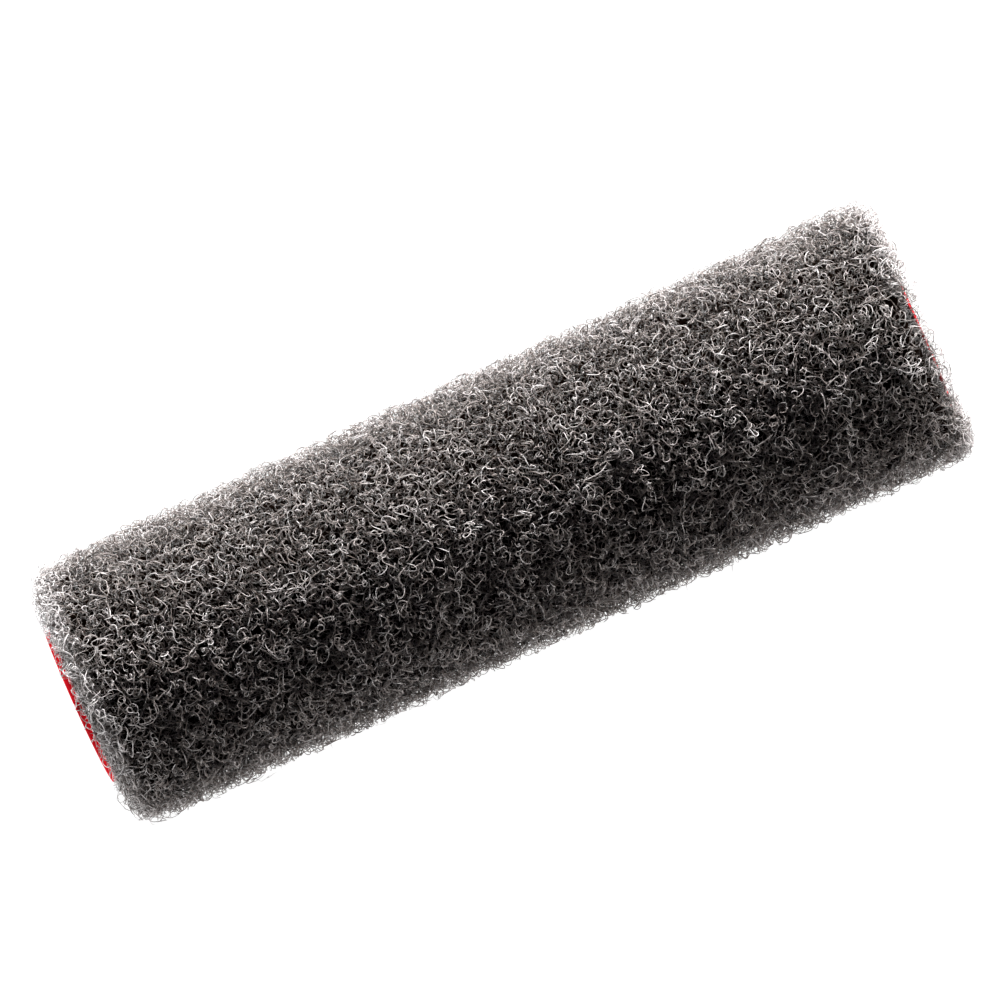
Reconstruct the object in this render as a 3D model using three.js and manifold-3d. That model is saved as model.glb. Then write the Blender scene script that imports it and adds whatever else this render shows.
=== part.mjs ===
// A refill cover for a nine-inch paint roller: a plastic core wound from two helical strips,
// and a helical strip of knitted fabric bonded round it that carries a deep curly pile.
//
// Frame: millimetres, +Z up. The cover lies on its side with its axis along X, and the origin
// is on the surface it lies on, below the middle of its length.

import * as THREE from "three";
import { mergeVertices } from "three/addons/utils/BufferGeometryUtils.js";
import Module from "manifold-3d";

// Driving dimensions, in millimetres.
const CORE_LENGTH = 228.6; // nine inches
const BORE_DIAMETER = 38.1; // one and a half inches, to slide over a standard roller cage
const PLY_THICKNESS = 0.9; // each of the two wound plastic strips
const BOND_THICKNESS = 0.2; // each film of bonding plastic
const BACKING_THICKNESS = 0.8; // the knitted ground of the fabric
const PILE_DIAMETER = 69; // over the tips of the pile
const PILE_FLATTENED = 0.5; // how far the pile gives where the cover lies on it
const LAYER_GAP = 0.3; // left between two layers that touch on the real cover
const SEAM_GAP = 0.3; // left between two turns of a wound strip, square to the strip
const CORE_STRIP_WIDTH = 73; // square to the strip's edge
const FABRIC_STRIP_WIDTH = 70;
const BARE_RIM = 2.2; // core left bare at the near end, before the fabric starts
const FAR_RIM = 0.8; // core left bare at the far end
const PILE_OVERHANG = 1.6; // how far the pile stands past the core's far end
const PILE_RIM_RADIUS = 4.5; // rounding of the pile at each end, on its outer edge

const FACETS = 48; // flat sides of every layer, in step with each other so the gaps are even
const FACET_ANGLE = (2 * Math.PI) / FACETS;
const ROUNDING_STEPS = 5;

// Places along the axis, measured from the middle of the whole cover.
const CORE_NEAR_END = -(CORE_LENGTH + PILE_OVERHANG) / 2;
const CORE_FAR_END = CORE_NEAR_END + CORE_LENGTH;
const FABRIC_NEAR_END = CORE_NEAR_END + BARE_RIM;
const FABRIC_FAR_END = CORE_FAR_END - FAR_RIM;
const PILE_FAR_END = CORE_FAR_END + PILE_OVERHANG;
const AXIS_HEIGHT = PILE_DIAMETER / 2 - PILE_FLATTENED;

const wasm = await Module();
wasm.setup();

// The layers' radii, from the bore outwards, each clear of the one inside it.
function stackLayers(thicknesses) {
  let inner = BORE_DIAMETER / 2;
  return thicknesses.map((thickness) => {
    const layer = { inner, outer: inner + thickness };
    inner = layer.outer + LAYER_GAP;
    return layer;
  });
}

const [INNER_PLY, PLY_BOND, OUTER_PLY, FABRIC_BOND, BACKING] = stackLayers([
  PLY_THICKNESS,
  BOND_THICKNESS,
  PLY_THICKNESS,
  BOND_THICKNESS,
  BACKING_THICKNESS,
]);
const PILE = { inner: BACKING.outer + LAYER_GAP, outer: PILE_DIAMETER / 2 };

function material(color, roughness) {
  return new THREE.MeshStandardMaterial({ color, roughness, metalness: 0 });
}

const redPlastic = material("#b3101c", 0.35);
const bondPlastic = material("#c9484c", 0.3);
const knitBacking = material("#3a3a3d", 0.85);
const pileFibre = material("#4a4a4d", 0.9);

// A closed geometry as a manifold-3d solid.
function toSolid(geometry) {
  const bare = geometry.clone();
  bare.deleteAttribute("normal");
  bare.deleteAttribute("uv");
  const merged = mergeVertices(bare, 1e-4);
  return new wasm.Manifold(
    new wasm.Mesh({
      numProp: 3,
      vertProperties: merged.attributes.position.array,
      triVerts: new Uint32Array(merged.index.array),
    }),
  );
}

function toGeometry(solid) {
  const mesh = solid.getMesh();
  const geometry = new THREE.BufferGeometry();
  geometry.setAttribute("position", new THREE.BufferAttribute(mesh.vertProperties, 3));
  geometry.setIndex(new THREE.BufferAttribute(mesh.triVerts, 1));
  geometry.computeVertexNormals();
  return geometry;
}

// A slab across the axis, as wide as anything it has to trim.
function trimmingSlab(start, end) {
  const slab = new THREE.BoxGeometry(end - start, 2 * PILE_DIAMETER, 2 * PILE_DIAMETER);
  slab.translate((start + end) / 2, 0, 0);
  return toSolid(slab);
}

// How far a wound strip of this width advances along the axis in one turn, when the strip
// butts against its own last turn.
function helixPitch(stripWidth, radius) {
  const circumference = 2 * Math.PI * radius;
  const windingAngle = Math.asin(stripWidth / circumference);
  return circumference * Math.tan(windingAngle);
}

// A long flat strip wound round the axis into a helix and cut square at both ends. Its edges
// follow the helix, and startAngle turns the seam round the axis.
function woundStrip({ inner, outer }, stripWidth, start, end, startAngle) {
  const radius = (inner + outer) / 2;
  const pitch = helixPitch(stripWidth, radius);
  const axialSeam = (SEAM_GAP * pitch) / stripWidth;
  const axialWidth = pitch - axialSeam;
  const turns = Math.ceil((end - start) / pitch) + 2;
  const strip = new THREE.BoxGeometry(turns * FACETS, axialWidth, outer - inner, turns * FACETS, 1, 1);
  const firstEdge = start - 1.5 * pitch;
  const position = strip.attributes.position;
  for (let i = 0; i < position.count; i++) {
    const step = position.getX(i) + (turns * FACETS) / 2;
    const acrossStrip = position.getY(i) + axialWidth / 2;
    const angle = (step + 0.5) * FACET_ANGLE;
    const distance = radius + position.getZ(i);
    position.setXYZ(
      i,
      firstEdge + (pitch * step) / FACETS + acrossStrip + (pitch * startAngle) / (2 * Math.PI),
      -distance * Math.sin(angle),
      distance * Math.cos(angle),
    );
  }
  return toGeometry(toSolid(strip).intersect(trimmingSlab(start, end)));
}

// A closed profile of (distance from axis, place along axis) points, turned about the X axis.
function turned(profile) {
  const lathe = new THREE.LatheGeometry([...profile, profile[0]], FACETS, FACET_ANGLE / 2);
  lathe.rotateZ(-Math.PI / 2);
  return lathe;
}

function plainTube({ inner, outer }, start, end) {
  return turned([
    new THREE.Vector2(inner, start),
    new THREE.Vector2(outer, start),
    new THREE.Vector2(outer, end),
    new THREE.Vector2(inner, end),
  ]);
}

function roundedCorner(radius, along, turn) {
  return Array.from({ length: ROUNDING_STEPS + 1 }, (_, i) => {
    const angle = turn + ((Math.PI / 2) * i) / ROUNDING_STEPS;
    return new THREE.Vector2(
      radius + PILE_RIM_RADIUS * Math.cos(angle),
      along + PILE_RIM_RADIUS * Math.sin(angle),
    );
  });
}

// The space the pile fills: a thick tube, rounded at both outer edges where the pile was cut,
// and flattened underneath where the cover lies on it.
function pileSleeve() {
  const shoulder = PILE.outer - PILE_RIM_RADIUS;
  const sleeve = turned([
    new THREE.Vector2(PILE.inner, FABRIC_NEAR_END),
    ...roundedCorner(shoulder, FABRIC_NEAR_END + PILE_RIM_RADIUS, -Math.PI / 2),
    ...roundedCorner(shoulder, PILE_FAR_END - PILE_RIM_RADIUS, 0),
    new THREE.Vector2(PILE.inner, PILE_FAR_END),
  ]);
  const ground = new THREE.BoxGeometry(2 * CORE_LENGTH, 2 * PILE_DIAMETER, PILE_DIAMETER);
  ground.translate(0, 0, -AXIS_HEIGHT - PILE_DIAMETER / 2);
  return toGeometry(toSolid(sleeve).subtract(toSolid(ground)));
}

function node(name, geometry, finish) {
  const mesh = new THREE.Mesh(geometry, finish);
  mesh.name = name;
  return mesh;
}

// The two plies are wound half a turn apart, so that each covers the other's seam.
function core() {
  const group = new THREE.Group();
  group.add(
    node(
      "core_inner_ply",
      woundStrip(INNER_PLY, CORE_STRIP_WIDTH, CORE_NEAR_END, CORE_FAR_END, 0),
      redPlastic,
    ),
    node("core_ply_bond", plainTube(PLY_BOND, CORE_NEAR_END, CORE_FAR_END), bondPlastic),
    node(
      "core_outer_ply",
      woundStrip(OUTER_PLY, CORE_STRIP_WIDTH, CORE_NEAR_END, CORE_FAR_END, Math.PI),
      redPlastic,
    ),
  );
  return group;
}

function fabric() {
  const group = new THREE.Group();
  group.add(
    node("fabric_bond", plainTube(FABRIC_BOND, FABRIC_NEAR_END, FABRIC_FAR_END), bondPlastic),
    node(
      "fabric_backing",
      woundStrip(BACKING, FABRIC_STRIP_WIDTH, FABRIC_NEAR_END, FABRIC_FAR_END, Math.PI / 2),
      knitBacking,
    ),
    node("curly_pile", pileSleeve(), pileFibre),
  );
  return group;
}

const windings = new THREE.Group();
windings.add(core(), fabric());
windings.position.z = AXIS_HEIGHT;

const rollerCover = new THREE.Group();
rollerCover.add(windings);

export default rollerCover;
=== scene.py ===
"""The looks of a nine-inch paint roller cover: curly pile, knitted backing and a wound red core."""
import math

import bmesh
import bpy
import numpy as np
from mathutils import Matrix, Vector


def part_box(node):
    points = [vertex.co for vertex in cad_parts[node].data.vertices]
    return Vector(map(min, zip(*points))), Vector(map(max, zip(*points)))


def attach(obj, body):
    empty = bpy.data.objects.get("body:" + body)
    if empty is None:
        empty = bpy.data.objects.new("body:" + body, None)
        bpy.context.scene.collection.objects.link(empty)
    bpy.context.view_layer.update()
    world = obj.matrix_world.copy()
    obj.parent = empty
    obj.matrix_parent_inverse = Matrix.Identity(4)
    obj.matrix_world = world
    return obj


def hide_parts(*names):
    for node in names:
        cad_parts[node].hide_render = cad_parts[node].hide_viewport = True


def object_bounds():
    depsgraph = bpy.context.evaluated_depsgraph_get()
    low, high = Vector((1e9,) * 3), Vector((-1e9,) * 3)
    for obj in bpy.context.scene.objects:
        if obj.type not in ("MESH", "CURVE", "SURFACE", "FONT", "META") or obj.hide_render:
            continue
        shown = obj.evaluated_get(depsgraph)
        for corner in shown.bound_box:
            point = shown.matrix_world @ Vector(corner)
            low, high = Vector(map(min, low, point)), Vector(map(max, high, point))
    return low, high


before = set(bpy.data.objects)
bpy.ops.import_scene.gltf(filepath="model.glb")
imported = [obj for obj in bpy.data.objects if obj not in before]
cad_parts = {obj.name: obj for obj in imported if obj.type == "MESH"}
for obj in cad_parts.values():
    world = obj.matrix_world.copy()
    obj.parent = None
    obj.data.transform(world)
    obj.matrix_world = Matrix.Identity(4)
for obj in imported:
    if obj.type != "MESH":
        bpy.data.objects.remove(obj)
cad_low, cad_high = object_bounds()

MM = 0.001
SEED = 1871

# ---------------------------------------------------------------- sizes read from the frame

core_low, core_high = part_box("core_inner_ply")
outer_low, outer_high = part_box("core_outer_ply")
back_low, back_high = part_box("fabric_backing")
pile_low, pile_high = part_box("curly_pile")

AXIS_Z = (core_low[2] + core_high[2]) / 2
CORE_START, CORE_END = core_low[0], core_high[0]
PILE_START, PILE_END = pile_low[0], pile_high[0]
BACK_START, BACK_END = back_low[0], back_high[0]
PLY_OUTER = (outer_high[2] - outer_low[2]) / 2
BACK_OUTER = (back_high[2] - back_low[2]) / 2
PILE_OUTER = pile_high[2] - AXIS_Z
BORE = 19.05 * MM  # the hole's radius
WELD_INNER, WELD_OUTER = 20.2 * MM, 20.4 * MM  # the film that welds the two plies
PLY_WIDTH = 73 * MM
PLY_SEAM = 0.0015  # half of the seam between two turns, as a share of their pitch
PLY_BEVEL = 0.12 * MM
BACK_INNER = BACK_OUTER - 0.9 * MM
FABRIC_WIDTH = 70 * MM
PILE_ROUND = 4.5 * MM  # rounding of the pile at both ends
OUTER_SHARES, OUTER_SHARE = 13, 2400  # pieces of the pile that shows, and fibres in each
DEEP_SHARES, DEEP_SHARE = 3, 4200  # the same for the curls below it
NEAR_FRINGE, FAR_FRINGE = 500, 420  # loose fibres at the two ends
MATTED, MATTED_AT = 240, -1.14  # of the near end's, those matted together, and at what angle
BRIDGE, BRIDGE_AT = 14, -0.35  # and those that hang over the rim nearer its top
FACE_CURLS = 2200  # curls that fill the pile's two end faces
PAINTED_LIGHT_REACH = 7 * MM  # how far along the pile from its two corners the fibres are paler, with painted light
WORN_AT, WORN_HALF = 0.38, 0.74  # the angle where the far end's pile is thin, and half its spread
WORN_SHARE = 0.75  # the share of the curls that are gone there
STRAY_SHARE = 0.04  # the share of the curls that stray out of the pile
EVEN_ALONG, EVEN_ROUND = 0.7548776662466927, 0.5698402909980532  # steps that never fall in line
JITTER = 0.3 * MM  # how far a fibre typically lies from its even place
LYING = 0.25 * MM  # fibres that come closer than this to the surface below are pressed flat
PRESSED = 0.6 * MM  # how gradually: each such step down leaves 37% of their height


# ---------------------------------------------------------------- meshes

def new_mesh(name, points, quads, triangles=()):
    """A smooth mesh object from points, four-cornered faces and three-cornered faces."""
    points = np.asarray(points, np.float32).reshape(-1, 3)
    quads = np.asarray(quads, np.int32).reshape(-1, 4)
    triangles = np.asarray(triangles, np.int32).reshape(-1, 3)
    mesh = bpy.data.meshes.new(name)
    mesh.vertices.add(len(points))
    mesh.vertices.foreach_set("co", points.ravel())
    corners = np.concatenate([quads.ravel(), triangles.ravel()])
    sides = np.concatenate([np.full(len(quads), 4), np.full(len(triangles), 3)])
    mesh.loops.add(len(corners))
    mesh.loops.foreach_set("vertex_index", corners)
    mesh.polygons.add(len(sides))
    starts = np.concatenate([[0], np.cumsum(sides)[:-1]])
    mesh.polygons.foreach_set("loop_start", starts.astype(np.int32))
    mesh.polygons.foreach_set("use_smooth", np.full(len(sides), True))
    mesh.update(calc_edges=True)
    mesh.validate()
    made = bpy.data.objects.new(name, mesh)
    bpy.context.scene.collection.objects.link(made)
    return made


def on_axis(along, angle, radius):
    """Points round the roller's axis. The angle runs from straight up, towards -Y."""
    return np.stack(
        np.broadcast_arrays(along, -radius * np.sin(angle), AXIS_Z + radius * np.cos(angle)),
        axis=-1,
    )


def ring_quads(rows, around, joined=True):
    """Faces between neighbouring rings of points. The last ring joins on to the first, unless
    the surface is open at its two ends."""
    i, j = np.meshgrid(np.arange(rows if joined else rows - 1), np.arange(around), indexing="ij")
    here, above = i * around, (i + 1) % rows * around
    beside = (j + 1) % around
    return np.stack([here + j, above + j, above + beside, here + beside], -1).reshape(-1, 4)


# ---------------------------------------------------------------- curly pile

PILE_INNER = BACK_OUTER + 1.0 * MM  # where the pile's two end faces start
FACE = PILE_OUTER - PILE_ROUND - PILE_INNER  # lengths along the outline: of an end face,
QUARTER = math.pi / 2 * PILE_ROUND  # of the rounded corner beside it,
STRAIGHT = PILE_END - PILE_START - 2 * PILE_ROUND  # of the side between the two corners,
OUTLINE = 2 * (FACE + QUARTER) + STRAIGHT  # and of it all, from one inner edge to the other


def unit(v):
    """Vectors scaled to length one."""
    return v / np.linalg.norm(v, axis=-1, keepdims=True)


def on_outline(s):
    """Places at a distance s along the pile's outline, which runs from the near end's inner edge
    over the side to the far end's: along the axis, from the axis, and the outward direction."""
    near = s < OUTLINE / 2
    way = np.where(near, -1.0, 1.0)
    u = np.where(near, s, OUTLINE - s)
    lean = np.clip((u - FACE) / PILE_ROUND, 0, math.pi / 2)
    out = PILE_INNER + np.minimum(u, FACE) + PILE_ROUND * np.sin(lean)
    inboard = PILE_ROUND * (1 - np.cos(lean)) + np.maximum(u - FACE - QUARTER, 0)
    along = np.where(near, PILE_START + inboard, PILE_END - inboard)
    return along, out, way * np.cos(lean), np.sin(lean)


def even_places(rng, count):
    """Places spread evenly over the pile, as distances along the outline and angles. Two steps
    that never fall into line keep the places apart, and a little jitter hides the pattern."""
    number = np.arange(count)
    first = (number * EVEN_ALONG + rng.random()) % 1
    second = (number * EVEN_ROUND + rng.random()) % 1
    table = np.linspace(0, OUTLINE, 4000)
    grown = np.cumsum(on_outline(table)[1])
    s = np.interp(first * grown[-1], grown, table) + rng.normal(0, JITTER, count)
    angle = 2 * np.pi * second + rng.normal(0, JITTER, count) / PILE_OUTER
    return np.clip(s, 0, OUTLINE), angle


def swells(rng, s, angle, waves=28, size=0.27 * MM):
    """Soft swells and hollows of the pile's surface: waves 6 to 22 mm long along it, with a whole
    number of waves round the roller, so that they meet."""
    height = np.zeros(len(s))
    for _ in range(waves):
        length = rng.uniform(6, 22) * MM
        phase = 2 * np.pi * (s / length + rng.random()) + rng.integers(-28, 29) * angle
        height += np.cos(phase)
    return size * height * math.sqrt(2 / waves)


def curls(rng, count, rings, step, radius, twist=0.45, spread=0.42):
    """Centrelines of crimped fibres, with the two directions across each. A fibre's bend swings
    from one side to the other along it, while the plane that it bends in turns."""
    ahead = unit(rng.normal(size=(count, 3)))
    side = unit(np.cross(ahead, rng.normal(size=(count, 3))))
    bend = 1 / (radius * np.exp(rng.normal(0, spread, count)))
    turn = rng.normal(0, twist, count) * bend * step
    bias, swing = rng.choice([-1.0, 1.0], count), rng.uniform(0.2, 1.25, count)
    phase, rate = rng.uniform(0, 2 * np.pi, count), rng.uniform(0.3, 0.9, count)
    at = np.zeros((count, 3))
    line, first, second = [at], [side], [np.cross(ahead, side)]
    for ring in range(1, rings):
        angle = (bend * step * (bias + swing * np.sin(phase + rate * ring)))[:, None]
        across = np.cross(ahead, side)
        ahead, side = (
            ahead * np.cos(angle) + side * np.sin(angle),
            side * np.cos(angle) - ahead * np.sin(angle),
        )
        side = unit(side * np.cos(turn)[:, None] + across * np.sin(turn)[:, None])
        at = at + ahead * step
        line.append(at)
        first.append(side)
        second.append(np.cross(ahead, side))
    return np.stack(line, 1), np.stack(first, 1), np.stack(second, 1)


def fibres(rng, s, angle, sunk, thickness, rings, step, radius):
    """Fibres as closed tubes of three sides, their highest point sunk below the outline. Also
    gives how deep each ring of them lies."""
    count = len(s)
    line, first, second = curls(rng, count, rings, step, radius)
    along, out, normal_x, normal_r = on_outline(s)
    sin, cos = np.sin(angle), np.cos(angle)
    normal = np.stack([normal_x, -normal_r * sin, normal_r * cos], 1)
    round_way = np.stack([np.zeros(count), -cos, -sin], 1)
    basis = np.stack([round_way, np.cross(normal, round_way), normal], 1)
    line = line - line.mean(1, keepdims=True)
    line[..., 2] -= line[..., 2].max(1, keepdims=True) + sunk[:, None]
    depth = -line[..., 2]

    line = np.einsum("nkj,njm->nkm", line, basis) + on_axis(along, angle, out)[:, None, :]
    first = np.einsum("nkj,njm->nkm", first, basis)
    second = np.einsum("nkj,njm->nkm", second, basis)

    taper = np.ones(rings)  # a fibre is thinner over its last two rings at each end
    taper[[0, -1]], taper[[1, -2]] = 0.35, 0.8
    size = thickness[:, None] / 2 * taper
    corner = np.arange(3) * 2 * np.pi / 3
    points = line[:, :, None, :] + size[:, :, None, None] * (
        np.cos(corner)[None, None, :, None] * first[:, :, None, :]
        + np.sin(corner)[None, None, :, None] * second[:, :, None, :]
    )
    press_on_floor(points)
    return points, depth


def press_on_floor(points):
    """Fibres that would go below the surface that the cover lies on, or come close to it, are
    pressed flat just above it."""
    height = points[..., 2]
    low = height < LYING
    height[low] = LYING * np.exp((height[low] - LYING) / PRESSED)


def painted_root_shade(tone, depth, dark=0.185 / MM):
    """The tone of each ring: a fibre's own, with painted shade that darkens it towards the roots of
    the pile.
    """
    return np.clip(tone[:, None] - dark * np.maximum(depth, 0), 0, 1)


def fibre_mesh(name, points, tone):
    """One mesh of many fibres, each closed at both ends, with its tone at every point."""
    count, rings = points.shape[:2]
    start = np.arange(count)[:, None, None] * rings * 3
    ring = np.arange(rings - 1)[None, :, None] * 3
    a = start + ring + np.arange(3)[None, None, :]
    b = start + ring + (np.arange(3)[None, None, :] + 1) % 3
    quads = np.stack([a, b, b + 3, a + 3], -1).reshape(-1, 4)
    head = np.arange(count)[:, None] * rings * 3 + np.array([2, 1, 0])
    tail = np.arange(count)[:, None] * rings * 3 + (rings - 1) * 3 + np.array([0, 1, 2])
    made = new_mesh(name, points, quads, np.concatenate([head, tail]))
    layer = made.data.attributes.new("tone", "FLOAT", "POINT")
    layer.data.foreach_set("value", np.repeat(tone.ravel(), 3).astype(np.float32))
    fibre_cells(made, count, rings)
    return made


def fibre_cells(made, count, rings):
    """A cell of the bake's map for each fibre, so that the map needs no unwrapping."""
    across = math.ceil(math.sqrt(count))
    cell = np.stack([np.arange(count) % across, np.arange(count) // across], 1) / across
    j = np.arange(3)[None, :]
    k = np.arange(rings - 1)[:, None]
    u = np.stack([j, j + 1, j + 1, j], -1) + 0 * k[..., None]
    v = np.stack([k, k, k + 1, k + 1], -1) + 0 * j[..., None]
    tube = np.stack([(u + 0.5) / 4, (v + 0.5) / rings], -1) / across
    tube = (cell[:, None, None, None, :] + tube[None]).reshape(-1, 2)
    cap = np.repeat(cell + 0.5 / across, 3, axis=0)
    layer = made.data.uv_layers.new(name="OFBake")
    layer.data.foreach_set("uv", np.concatenate([tube, cap, cap]).astype(np.float32).ravel())


def fibre_pieces(name, points, tone, share):
    """Fibres sorted along the axis and parted into pieces of a share each."""
    order = np.argsort(points[:, 0, 0, 0], kind="stable")
    pieces = []
    for number, begin in enumerate(range(0, len(order), share), 1):
        chosen = order[begin:begin + share]
        pieces.append(fibre_mesh(f"{name}_{number:02d}", points[chosen], tone[chosen]))
    return pieces


def worn_away(rng, s, angle):
    """Which places' curls are gone, where the pile is thin round the far end."""
    at_end = OUTLINE - s < FACE + QUARTER + 2 * MM
    on_side = np.cos(angle - WORN_AT) > math.cos(WORN_HALF)
    return at_end & on_side & (rng.random(len(s)) < WORN_SHARE)


def outer_pile():
    """The curls that show: most within 3 mm of the outline, and a few that stray out of it. Painted
    light makes them paler near the pile's two corners and the strays paler still; painted shade
    darkens their roots."""
    rng = np.random.default_rng(SEED)
    count = OUTER_SHARES * OUTER_SHARE
    s, angle = even_places(rng, count)
    worn = worn_away(rng, s, angle)
    # those that are gone from the far end lie elsewhere on the pile instead
    s[worn] = rng.uniform(0.1, 0.9, worn.sum()) * OUTLINE
    # from 1 mm over the outline to 2.7 mm under it, before the swells
    sunk = (3.7 * rng.random(count) ** 1.25 - 1.0) * MM - swells(rng, s, angle)
    thickness = 0.222 * MM * np.exp(rng.normal(0, 0.16, count))
    stray = rng.random(count) < STRAY_SHARE
    sunk[stray] -= rng.uniform(0.3, 1.5, stray.sum()) * MM
    thickness[stray] *= 0.6
    points, depth = fibres(
        rng, s, angle, sunk, thickness, rings=14, step=0.6 * MM, radius=1.25 * MM)
    inboard = np.minimum(s, OUTLINE - s)
    past_face = np.clip((inboard - FACE) / (2 * MM), 0, 1)
    # painted light: paler near the pile's corners, for the haze of the low lamps at its ends
    painted_light = 0.75 * past_face * np.exp(-np.square((inboard - FACE) / PAINTED_LIGHT_REACH))
    # painted light: the strays are paler by 0.25, for the haze of thin fibres against the bright
    # surround; otherwise the tone differs at random
    tone = rng.normal(0.665, 0.16, count) + painted_light + 0.25 * stray
    return fibre_pieces("pile_curls", points, painted_root_shade(tone, depth), OUTER_SHARE)


def deep_pile():
    """Coarser curls in the dark below the outer ones, between the pile's rounded corners."""
    rng = np.random.default_rng(SEED + 1)
    count = DEEP_SHARES * DEEP_SHARE
    s, angle = even_places(rng, count)
    s = FACE + QUARTER + (OUTLINE - 2 * (FACE + QUARTER)) * s / OUTLINE
    sunk = rng.uniform(1.9, 4.9, count) * MM
    thickness = np.full(count, 0.3 * MM)
    points, depth = fibres(
        rng, s, angle, sunk, thickness, rings=8, step=0.95 * MM, radius=1.5 * MM)
    # painted shade: a darker tone than the outer curls, for the dark they lie in
    tone = painted_root_shade(rng.normal(0.45, 0.1, count), depth)
    return fibre_pieces("pile_depth", points, tone, DEEP_SHARE)


def end_fringe():
    """Thin loose curls that reach past the fabric's two cut ends, over the core's rims."""
    rng = np.random.default_rng(SEED + 2)
    count = NEAR_FRINGE + FAR_FRINGE
    near = np.arange(count) < NEAR_FRINGE
    s = rng.uniform(-1.0, 4.0, count) * MM
    s[~near] = OUTLINE - s[~near]
    sunk = np.where(near, -2.3 * MM, -1.2 * MM) * rng.random(count) ** 1.3
    thickness = 0.17 * MM * np.exp(rng.normal(0, 0.16, count))
    angle = rng.uniform(0, 2 * np.pi, count)
    angle[:MATTED] = rng.normal(MATTED_AT, 0.2, MATTED)
    sunk[:MATTED] = -rng.uniform(0.8, 2.3, MATTED) * MM
    angle[MATTED:MATTED + BRIDGE] = rng.normal(BRIDGE_AT, 0.03, BRIDGE)
    points, depth = fibres(
        rng, s, angle, sunk, thickness, rings=13, step=0.5 * MM, radius=1.4 * MM)
    # painted light: the fringe is paler than the pile, for the haze of thin fibres against the bright
    # surround; painted shade darkens it towards the roots
    tone = painted_root_shade(rng.normal(0.8, 0.15, count), depth)
    return fibre_pieces("pile_fringe", points, tone, count)


def end_faces():
    """Curls close under the pile's two end faces, where the deep ones don't reach. Those that are
    worn away from the top of the far one go to its underside."""
    rng = np.random.default_rng(SEED + 4)
    s = rng.uniform(-0.8 * MM, FACE + QUARTER, FACE_CURLS)
    s[::2] = OUTLINE - s[::2]
    angle = rng.uniform(0, 2 * np.pi, FACE_CURLS)
    angle[worn_away(rng, s, angle)] += np.pi
    sunk = rng.uniform(1.0, 3.0, FACE_CURLS) * MM
    thickness = np.full(FACE_CURLS, 0.26 * MM)
    points, depth = fibres(
        rng, s, angle, sunk, thickness, rings=9, step=0.8 * MM, radius=1.4 * MM)
    tone = painted_root_shade(rng.normal(0.55, 0.12, FACE_CURLS), depth)
    return fibre_pieces("pile_face", points, tone, FACE_CURLS // 2)


def pile_ground():
    """The dense foot of the pile: a lumpy sleeve that the loose fibres stand on. Its profile is
    rounded at both ends, and runs from the near end's inner edge over the side to the far end's."""
    rng = np.random.default_rng(SEED)
    depth, soft, lump = 5.0 * MM, 4.0 * MM, 0.35 * MM
    around, stations = 256, 262
    inner, outer = BACK_OUTER + 0.1 * MM, PILE_OUTER - depth
    start, end = PILE_START + 3.0 * MM, PILE_END - 4.2 * MM
    shoulder = outer - soft
    halfway = inner + (shoulder - inner) / 2
    bends = np.linspace(-np.pi / 2, 0, 6)
    profile = [(start, inner), (start, halfway)]
    profile += [(start + soft + soft * math.sin(b), shoulder + soft * math.cos(b)) for b in bends]
    profile += [(x, outer) for x in np.linspace(start + soft, end - soft, stations)[1:-1]]
    profile += [
        (end - soft + soft * math.sin(-b), shoulder + soft * math.cos(b)) for b in bends[::-1]
    ]
    profile += [(end, halfway), (end, inner)]
    profile = np.array(profile)
    angle = np.arange(around) * 2 * np.pi / around
    x = np.repeat(profile[:, :1], around, 1)
    r = np.repeat(profile[:, 1:], around, 1)
    lumps = rng.normal(0, lump, x.shape)
    lumps[0] = lumps[-1] = 0
    points = on_axis(x, angle[None, :], r + lumps)
    return new_mesh("pile_foot_shade", points, ring_quads(len(profile), around))


# ---------------------------------------------------------------- wound strips

def ply_section(inner, outer, seam, bevel):
    """Section of a plain strip, as (share of the strip's pitch, distance from the axis)."""
    return [
        (seam, inner + bevel), (seam, outer - bevel), (seam + bevel / PLY_WIDTH, outer),
        (1 - seam - bevel / PLY_WIDTH, outer), (1 - seam, outer - bevel), (1 - seam, inner + bevel),
        (1 - seam - bevel / PLY_WIDTH, inner), (seam + bevel / PLY_WIDTH, inner),
    ]


def knit_section(inner, outer, ribs=50, seam=0.003, samples=4):
    """Section of a knitted strip: flat below, and a rib along it for each row of stitches. The
    grooves between ribs go 45% of the way down."""
    across = np.linspace(seam, 1 - seam, ribs * samples + 1)
    rib = np.abs(np.sin(np.pi * ribs * (across - seam) / (1 - 2 * seam)))
    top = outer - 0.45 * (outer - inner) * (1 - rib)
    upper = list(zip(across, top))
    lower = [(place, inner) for place in np.linspace(1 - seam, seam, ribs // 2)]
    return upper + lower


def wound_strip(name, section, width, start, end, start_angle, steps, chamfer=0):
    """A strip of a given section wound into a helix whose edges almost meet, cut square."""
    radii = np.array([radius for _, radius in section])
    middle = 2 * math.pi * (radii.min() + radii.max()) / 2
    pitch = middle * math.tan(math.asin(width / middle))
    turns = math.ceil((end - start) / pitch) + 2
    rows = turns * steps + 1
    angle = np.arange(rows) * 2 * np.pi / steps
    # the helix begins before the start and runs on past the end, so that both cuts go through it
    first = start - 1.5 * pitch + pitch * (np.arange(rows) / steps + start_angle / (2 * math.pi))
    points = np.stack([on_axis(first + share * pitch, angle, radius) for share, radius in section], 1)
    made = new_mesh(name, points, ring_quads(rows, len(section), joined=False))
    cut_square(made, start, end, chamfer)
    return made


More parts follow.
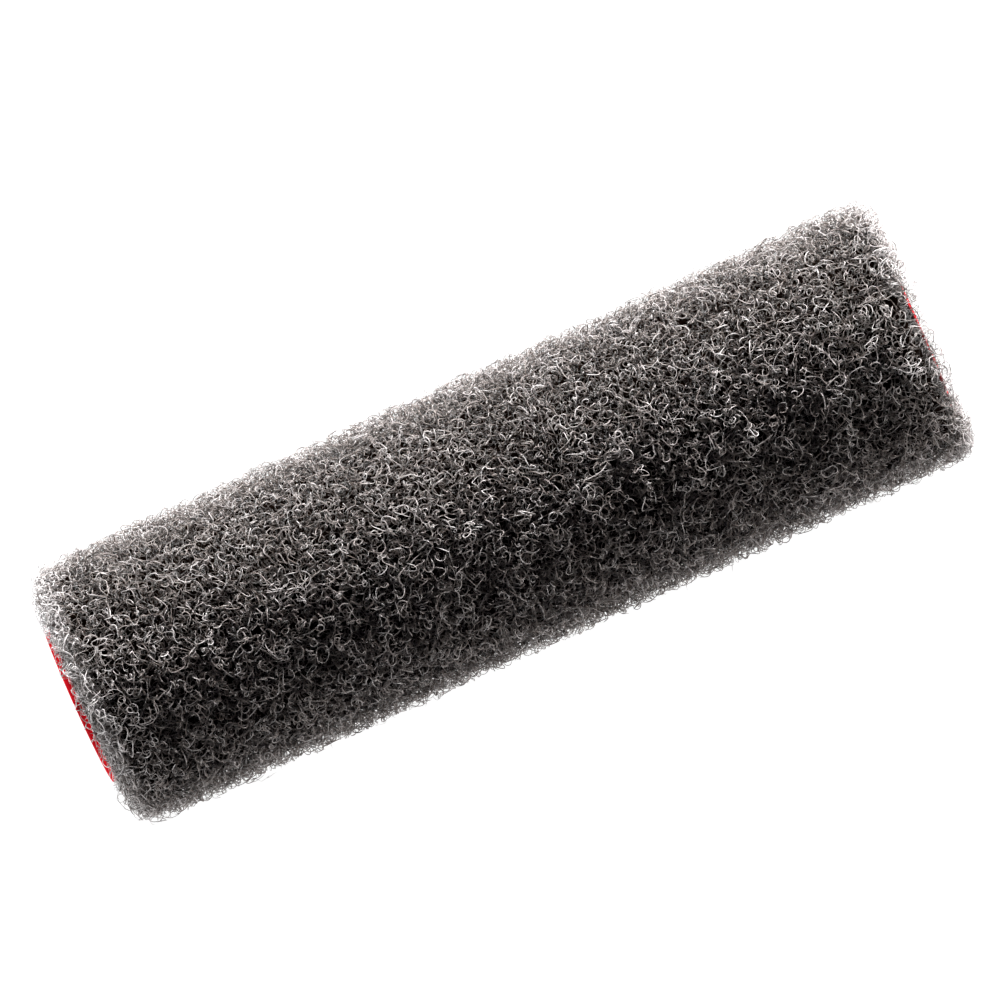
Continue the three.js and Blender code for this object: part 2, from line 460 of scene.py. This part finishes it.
def melted_film(name, inner, outer, start, end, reach):
    """Plastic melted between two layers, whose wavy edges reach past the layers' ends, or stop
    short of them."""
    rng = np.random.default_rng(SEED + 3)
    clearance, ripple = 0.02 * MM, 0.1 * MM
    inner, outer = inner + clearance, outer - clearance
    radius = (outer - inner) / 2
    around = 288
    angle = np.arange(around) * 2 * np.pi / around
    lean = np.linspace(-np.pi / 2, np.pi / 2, 7)
    rings = []
    for edge, way in ((end, 1), (start, -1)):
        wave = sum(
            ripple / math.sqrt(waves) * np.cos(waves * angle + rng.uniform(0, 2 * np.pi))
            for waves in range(2, 40)
        )
        for b in lean[::-1] if way > 0 else lean:
            along = edge + way * (reach + wave + radius * math.cos(b))
            rings.append(on_axis(along, angle, inner + radius + radius * math.sin(b)))
    faces = ring_quads(len(rings), around)[:, [0, 3, 2, 1]]  # turned, to look outwards
    return new_mesh(name, np.stack(rings), faces)


def cut_square(made, start, end, chamfer):
    """Cuts a wound strip off square at two places along the axis, which closes its open ends, and
    softens the cut edges by the chamfer."""
    bm = bmesh.new()
    bm.from_mesh(made.data)
    for place, way in ((start, -1), (end, 1)):
        cut = bmesh.ops.bisect_plane(
            bm, geom=bm.verts[:] + bm.edges[:] + bm.faces[:], dist=1e-7,
            plane_co=(place, 0, 0), plane_no=(way, 0, 0), clear_outer=True,
        )
        edges = [e for e in cut["geom_cut"] if isinstance(e, bmesh.types.BMEdge)]
        bmesh.ops.triangle_fill(bm, edges=edges, use_beauty=True)
    bmesh.ops.recalc_face_normals(bm, faces=bm.faces[:])
    if chamfer:
        rims = [e for e in bm.edges if sum(abs(f.normal.x) > 0.999 for f in e.link_faces) == 1]
        bmesh.ops.bevel(bm, geom=rims, offset=chamfer, segments=2, profile=0.5, affect="EDGES")
    bm.to_mesh(made.data)
    bm.free()
    made.data.set_sharp_from_angle(angle=math.radians(30))


# ---------------------------------------------------------------- materials

def new_material(name):
    """A material, its node tree and its shader."""
    material = bpy.data.materials.new(name)
    material.use_nodes = True
    tree = material.node_tree
    return material, tree, tree.nodes["Principled BSDF"]


def ramp(tree, stops):
    """A colour ramp from its stops, each a place and a colour."""
    node = tree.nodes.new("ShaderNodeValToRGB")
    elements = node.color_ramp.elements
    while len(elements) < len(stops):
        elements.new(0.5)
    for element, (place, colour) in zip(elements, stops):
        element.position = place
        element.color = (*colour, 1)
    return node


def object_noise(tree, scale, detail=3.0, stretch=(1, 1, 1)):
    """Noise in the object's own space, finer along an axis that stretch enlarges."""
    where = tree.nodes.new("ShaderNodeTexCoord")
    mapping = tree.nodes.new("ShaderNodeMapping")
    mapping.inputs["Scale"].default_value = stretch
    noise = tree.nodes.new("ShaderNodeTexNoise")
    noise.inputs["Scale"].default_value = scale
    noise.inputs["Detail"].default_value = detail
    tree.links.new(where.outputs["Object"], mapping.inputs["Vector"])
    tree.links.new(mapping.outputs["Vector"], noise.inputs["Vector"])
    return noise


def math_node(tree, operation, *values):
    """The result of an arithmetic operation on numbers and other nodes' outputs."""
    node = tree.nodes.new("ShaderNodeMath")
    node.operation = operation
    for socket, value in zip(node.inputs, values):
        if isinstance(value, (int, float)):
            socket.default_value = value
        else:
            tree.links.new(value, socket)
    return node.outputs[0]


def fibre_material(name, stops):
    """Crimped plastic fibre, darker towards its root with painted shade and lighter at its tip. A
    soft cloud over the pile moves the tone up or down by 0.4 at most."""
    material, tree, shader = new_material(name)
    tone = tree.nodes.new("ShaderNodeAttribute")
    tone.attribute_name = "tone"
    cloud = object_noise(tree, 90)
    lift = math_node(tree, "MULTIPLY_ADD", cloud.outputs["Fac"], 0.8, -0.4)
    total = math_node(tree, "ADD", tone.outputs["Fac"], lift)
    colours = ramp(tree, stops)
    tree.links.new(total, colours.inputs["Fac"])
    tree.links.new(colours.outputs["Color"], shader.inputs["Base Color"])
    shader.inputs["Roughness"].default_value = 0.38
    shader.inputs["Specular IOR Level"].default_value = 0.5
    shader.inputs["Sheen Weight"].default_value = 0.25
    shader.inputs["Sheen Roughness"].default_value = 0.4
    return material


def root_shade_material():
    """Painted shade: a near black for the dense roots between the fibres, with no gloss."""
    material, tree, shader = new_material("pile_foot_shade")
    noise = object_noise(tree, 700)
    colours = ramp(tree, [(0.3, (0.001, 0.0005, 0.0003)), (0.8, (0.005, 0.0027, 0.0018))])
    tree.links.new(noise.outputs["Fac"], colours.inputs["Fac"])
    tree.links.new(colours.outputs["Color"], shader.inputs["Base Color"])
    shader.inputs["Roughness"].default_value = 0.95
    shader.inputs["Specular IOR Level"].default_value = 0.0
    return material


def knit_material():
    """Grey backing yarn, flecked with two greys, with fine stitches that cross the ribs aslant."""
    material, tree, shader = new_material("knit_backing")
    fleck = object_noise(tree, 900, 2.0)
    colours = ramp(tree, [(0.35, (0.030, 0.028, 0.027)), (0.7, (0.085, 0.080, 0.078))])
    tree.links.new(fleck.outputs["Fac"], colours.inputs["Fac"])
    tree.links.new(colours.outputs["Color"], shader.inputs["Base Color"])
    shader.inputs["Roughness"].default_value = 0.85
    shader.inputs["Specular IOR Level"].default_value = 0.25
    shader.inputs["Sheen Weight"].default_value = 0.3
    stitches = tree.nodes.new("ShaderNodeTexWave")
    stitches.inputs["Scale"].default_value = 320
    stitches.inputs["Distortion"].default_value = 3.0
    where = tree.nodes.new("ShaderNodeTexCoord")
    tree.links.new(where.outputs["Object"], stitches.inputs["Vector"])
    bump = tree.nodes.new("ShaderNodeBump")
    bump.inputs["Strength"].default_value = 0.6
    bump.inputs["Distance"].default_value = 0.2 * MM
    tree.links.new(stitches.outputs["Fac"], bump.inputs["Height"])
    tree.links.new(bump.outputs["Normal"], shader.inputs["Normal"])
    return material


def red_plastic(name, dark, light, rough, specular):
    """Red plastic, mottled, with faint lines round the roller where the strip was drawn."""
    material, tree, shader = new_material(name)
    grain = object_noise(tree, 90, 5.0, (9, 1, 1))
    colours = ramp(tree, [(0.25, dark), (0.8, light)])
    tree.links.new(grain.outputs["Fac"], colours.inputs["Fac"])
    tree.links.new(colours.outputs["Color"], shader.inputs["Base Color"])
    map_rough = tree.nodes.new("ShaderNodeMapRange")
    map_rough.inputs["To Min"].default_value = rough - 0.1
    map_rough.inputs["To Max"].default_value = rough + 0.1
    tree.links.new(grain.outputs["Fac"], map_rough.inputs["Value"])
    tree.links.new(map_rough.outputs["Result"], shader.inputs["Roughness"])
    shader.inputs["Specular IOR Level"].default_value = specular
    bump = tree.nodes.new("ShaderNodeBump")
    bump.inputs["Strength"].default_value = 0.5
    bump.inputs["Distance"].default_value = 0.1 * MM
    tree.links.new(grain.outputs["Fac"], bump.inputs["Height"])
    tree.links.new(bump.outputs["Normal"], shader.inputs["Normal"])
    return material


# ---------------------------------------------------------------- stage

def put(piece, material, slot, *nodes):
    """Gives a piece its material and its body, and the CAD nodes that it replaces. The slot is not
    used.
    """
    piece.data.materials.clear()
    piece.data.materials.append(material)
    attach(piece, "root")
    if nodes:
        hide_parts(*nodes)


def softbox(name, place, aim, size, power, colour=(0.96, 0.985, 1.0)):
    """A rectangular light at a place, which faces its aim and which the camera doesn't see."""
    light = bpy.data.lights.new(name, "AREA")
    light.shape = "RECTANGLE"
    light.size, light.size_y = size
    light.energy = power
    light.color = colour
    lamp = bpy.data.objects.new(name, light)
    bpy.context.scene.collection.objects.link(lamp)
    lamp.location = place
    lamp.visible_camera = False
    lamp.rotation_euler = (Vector(aim) - Vector(place)).to_track_quat("-Z", "Y").to_euler()


def stage():
    """A pale floor that glows enough to show white, and the soft light round it."""
    half = 40  # metres
    corners = [(-half, -half, 0), (half, -half, 0), (half, half, 0), (-half, half, 0)]
    floor = new_mesh("floor", corners, [(0, 1, 2, 3)])
    material, _, shader = new_material("pale_floor")
    shader.inputs["Base Color"].default_value = (0.2, 0.2, 0.2, 1)
    shader.inputs["Roughness"].default_value = 0.9
    shader.inputs["Emission Color"].default_value = (1, 1, 1, 1)
    shader.inputs["Emission Strength"].default_value = 1.0
    floor.data.materials.append(material)
    surround()


def surround():
    """Soft light all round, strongest level with the floor and faint from straight above."""
    world = bpy.data.worlds.new("studio")
    world.use_nodes = True
    tree = world.node_tree
    where = tree.nodes.new("ShaderNodeTexCoord")
    split = tree.nodes.new("ShaderNodeSeparateXYZ")
    falloff = ramp(tree, [(0.05, (1, 1, 1)), (0.1, (0.6, 0.6, 0.6)), (0.35, (0.1, 0.1, 0.1)),
                          (0.8, (0.02, 0.02, 0.02))])
    tree.links.new(where.outputs["Generated"], split.inputs[0])
    tree.links.new(split.outputs["Z"], falloff.inputs["Fac"])
    back = tree.nodes["Background"]
    tree.links.new(falloff.outputs["Color"], back.inputs["Color"])
    back.inputs["Strength"].default_value = 1.0
    bpy.context.scene.world = world


SPAN = 0.925  # the roller's length, as a share of the picture's width
TILT = math.radians(24.2)  # the axis rises to the right in the picture
RAISE = 3.4 * MM  # how far the middle of the picture lies above the roller's axis
SENSOR, LENS = 36, 320  # the camera's, in its own millimetres: a long lens, for little perspective


def camera():
    """A camera that looks straight down, turned so that the roller lies aslant."""
    data = bpy.data.cameras.new("camera")
    data.sensor_width = SENSOR
    data.lens = LENS
    cam = bpy.data.objects.new("camera", data)
    bpy.context.scene.collection.objects.link(cam)
    centre = Vector(((cad_low[0] + cad_high[0]) / 2, 0, AXIS_Z))
    across = (PILE_END - CORE_START) / SPAN
    distance = across * data.lens / data.sensor_width
    back = Vector((0, 0, 1))
    right = Vector((math.cos(TILT), -math.sin(TILT), 0))
    up = back.cross(right)
    turn = Matrix((right, up, back)).transposed()
    centre += up * RAISE
    cam.matrix_world = Matrix.Translation(centre + back * distance) @ turn.to_4x4()
    data.clip_start, data.clip_end = 0.01, 50
    bpy.context.scene.camera = cam


def floor_place(across, up, height):
    """A place given by its distance across the picture, up the picture and above the floor."""
    up_x, up_y = math.sin(TILT), math.cos(TILT)
    return (across * up_y + up * up_x, up * up_y - across * up_x, height)


def lights():
    """Two low lights from beyond the picture's top, which leave the lower side dark, and a weaker
    one beyond each end."""
    middle, near_end, far_end = (0, 0, 0.04), (-0.1, 0, 0.04), (0.1, 0, 0.04)
    softbox("key", floor_place(0, 1.5, 0.27), middle, (1.5, 0.4), 96, (1.0, 0.995, 0.99))
    softbox("low", floor_place(0, 1.5, 0.08), middle, (1.5, 0.12), 88)
    softbox("left", floor_place(-1.35, -0.65, 0.08), near_end, (0.9, 0.12), 42)
    softbox("right", floor_place(1.5, 0, 0.08), far_end, (0.9, 0.12), 29, (1.0, 0.97, 0.94))


# ---------------------------------------------------------------- the cover

def pile():
    """The curly pile: curls, the pale fringe at its ends, whose paleness is painted light, and its
    foot, near black with painted shade.
    """
    curl_material = fibre_material("pile_fibre", [
        (0.0, (0.0135, 0.0070, 0.0042)), (0.3, (0.057, 0.040, 0.031)),
        (0.6, (0.147, 0.1205, 0.1105)), (1.0, (0.385, 0.358, 0.353)),
    ])
    for piece in outer_pile() + deep_pile() + end_faces():
        put(piece, curl_material, "pile_fibre", "curly_pile")
    painted_haze_material = fibre_material("painted_haze_fibre", [
        (0.0, (0.05, 0.045, 0.043)), (0.5, (0.32, 0.30, 0.295)), (1.0, (0.80, 0.78, 0.78)),
    ])
    for piece in end_fringe():
        put(piece, painted_haze_material, "pile_fibre", "curly_pile")
    put(pile_ground(), root_shade_material(), "pile_fibre", "curly_pile")


def core():
    """The two plies, the film that welds them, and the film that bonds the fabric on."""
    red = red_plastic("red_core_plastic", dark=(0.60, 0.0035, 0.011), light=(0.88, 0.008, 0.02),
                      rough=0.6, specular=0.05)
    matt_red = red_plastic("matt_red_plastic", dark=(0.33, 0.002, 0.006),
                           light=(0.54, 0.005, 0.012), rough=0.75, specular=0.0)
    melted = red_plastic("melted_plastic", dark=(0.05, 0.0008, 0.002),
                         light=(0.12, 0.002, 0.004), rough=0.35, specular=0.3)
    plies = (
        ("wound_inner_ply", BORE, WELD_INNER, 0, matt_red, "core_inner_ply"),
        ("wound_outer_ply", WELD_OUTER, PLY_OUTER, math.pi, red, "core_outer_ply"),
    )
    for name, inner, outer, start_angle, finish, node in plies:
        section = ply_section(inner, outer, PLY_SEAM, PLY_BEVEL)
        ply = wound_strip(name, section, PLY_WIDTH, CORE_START, CORE_END, start_angle,
                          steps=144, chamfer=PLY_BEVEL)
        put(ply, finish, "red_core_plastic", node)
    weld = melted_film(
        "ply_weld", WELD_INNER, WELD_OUTER, CORE_START, CORE_END, reach=-0.5 * MM)
    bond = melted_film(
        "bond_film", PLY_OUTER, BACK_INNER, BACK_START, BACK_END, reach=0.25 * MM)
    put(weld, melted, "bond_plastic", "core_ply_bond")
    put(bond, melted, "bond_plastic", "fabric_bond")


def knitted_backing():
    """The fabric that holds the pile: a strip wound over the core."""
    backing = wound_strip("knit_strip", knit_section(BACK_INNER, BACK_OUTER), FABRIC_WIDTH,
                          BACK_START, BACK_END, start_angle=1.0, steps=48)
    put(backing, knit_material(), "knit_backing", "fabric_backing")


camera()
stage()
lights()
pile()
core()
knitted_backing()

bpy.context.scene.view_settings.view_transform = "Standard"
